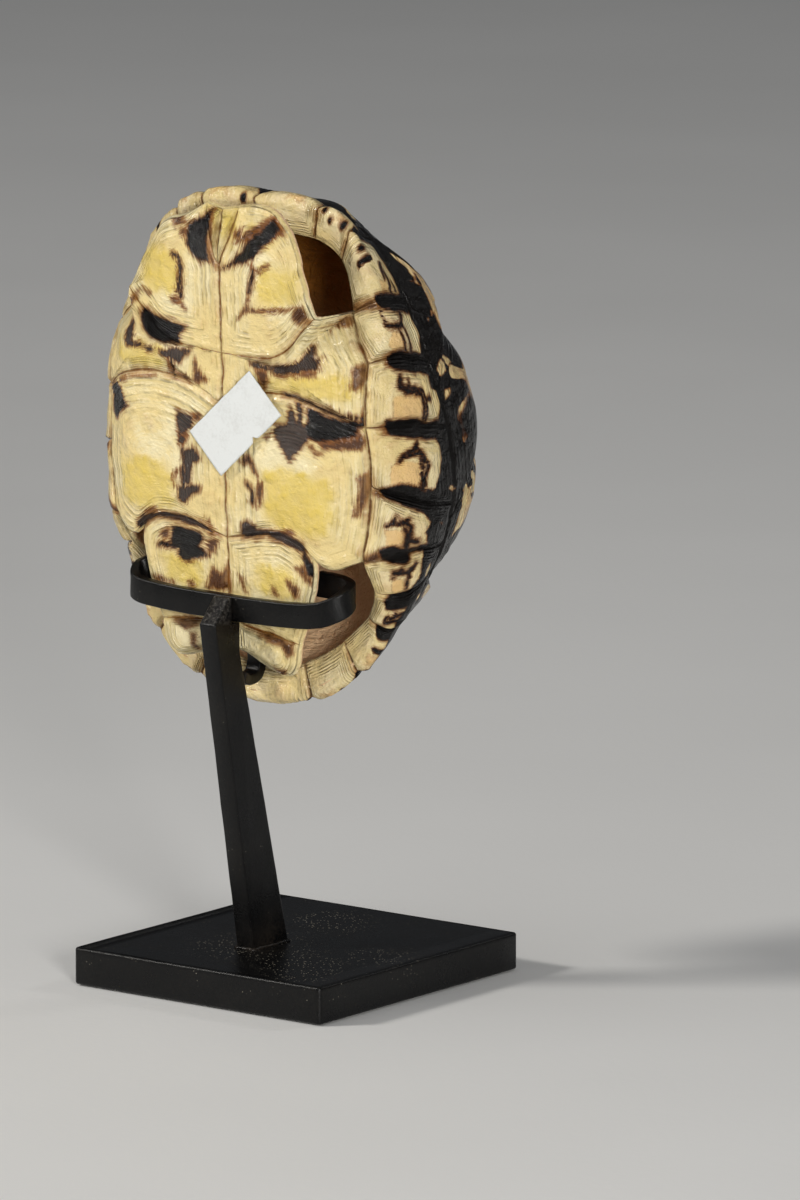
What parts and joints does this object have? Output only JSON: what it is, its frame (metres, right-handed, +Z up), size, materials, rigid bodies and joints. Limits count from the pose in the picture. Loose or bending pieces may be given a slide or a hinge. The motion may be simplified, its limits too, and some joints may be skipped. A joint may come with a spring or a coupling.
{
  "type": "turtle shell",
  "caption": "Small tortoise shell standing head end up, belly plate forward, cradled by a flat black bar stand on a square base plate.",
  "frame": {"origin": "middle of the base plate's underside", "axes": "+Z up, from the base plate to the head end of the shell; -Y the way the belly plate faces; +X to the right seen from the front"},
  "size_m": [0.1007, 0.0902, 0.2139],
  "materials": {
    "shell": "glossy horn scutes over bone, cream and honey yellow with black and dark brown marks",
    "black_steel": "satin black paint, fine grain, dust specks",
    "paper": "matt white tag"
  },
  "bodies": {
    "root": {"base_plate": "black_steel", "post": "black_steel", "cradle_band": "black_steel", "lower_hook": "black_steel", "shell": "shell", "paper_label": "paper"}
  },
  "joints": []
}
